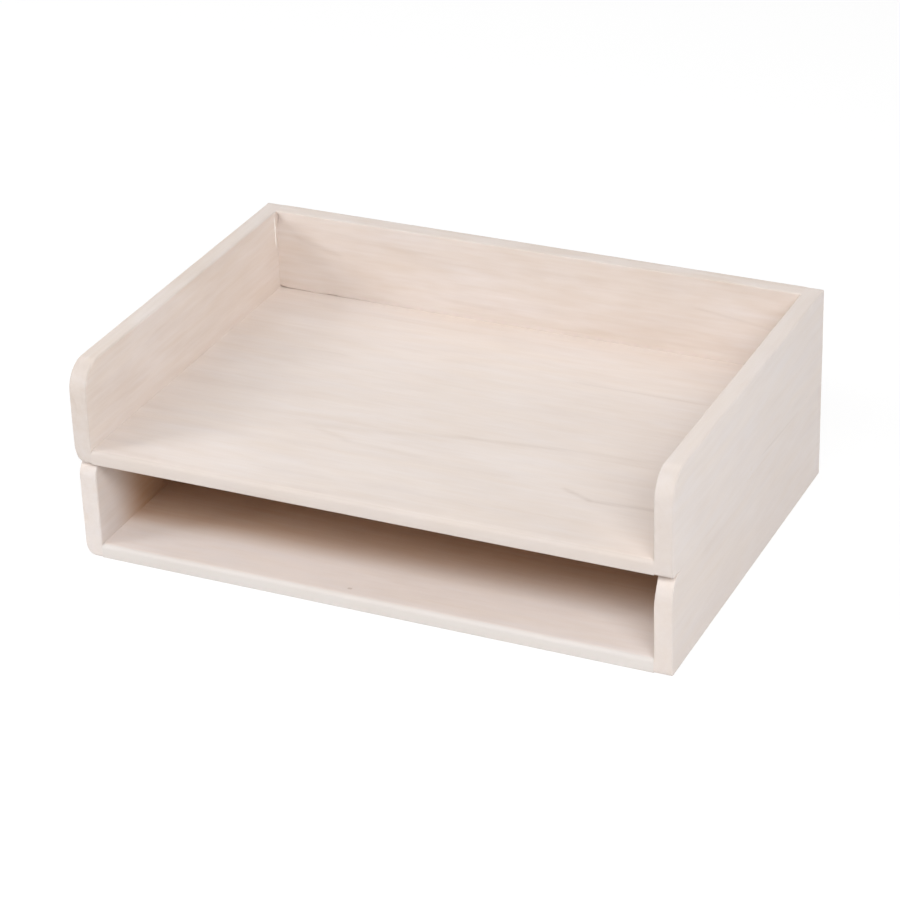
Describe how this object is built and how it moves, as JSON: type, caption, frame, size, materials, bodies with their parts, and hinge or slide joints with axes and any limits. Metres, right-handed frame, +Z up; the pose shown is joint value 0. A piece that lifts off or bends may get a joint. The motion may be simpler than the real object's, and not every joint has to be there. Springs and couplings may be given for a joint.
{
  "type": "stack of document trays",
  "caption": "Stacked shallow wooden letter trays, open at the front, whitewashed, located by pegs so the upper tray lifts off.",
  "frame": {"origin": "middle of the stack's footprint, on the surface that it stands on", "axes": "+X to the right as seen from the open front, +Y towards the back, +Z up"},
  "size_m": [0.333, 0.226, 0.111],
  "materials": {
    "whitewashed_wood": "matte whitewash over pale softwood",
    "peg_wood": "bare turned hardwood",
    "brad_steel": "bright drawn wire"
  },
  "bodies": {
    "lower_tray": {"lower_base": "whitewashed_wood", "lower_back": "whitewashed_wood", "lower_left_side": "whitewashed_wood", "lower_right_side": "whitewashed_wood", "lower_left_base_brads": "brad_steel", "lower_left_back_brads": "brad_steel", "lower_right_base_brads": "brad_steel", "lower_right_back_brads": "brad_steel", "lower_back_foot_brads": "brad_steel", "left_front_peg": "peg_wood", "left_rear_peg": "peg_wood", "right_front_peg": "peg_wood", "right_rear_peg": "peg_wood"},
    "upper_tray": {"upper_base": "whitewashed_wood", "upper_back": "whitewashed_wood", "upper_left_side": "whitewashed_wood", "upper_right_side": "whitewashed_wood", "upper_left_base_brads": "brad_steel", "upper_left_back_brads": "brad_steel", "upper_right_base_brads": "brad_steel", "upper_right_back_brads": "brad_steel", "upper_back_foot_brads": "brad_steel"}
  },
  "joints": [
    {"name": "upper_tray_lift", "type": "slide", "parent": "lower_tray", "child": "upper_tray", "axis": [0, 0, 1], "range_m": [0, 0.1]}
  ]
}
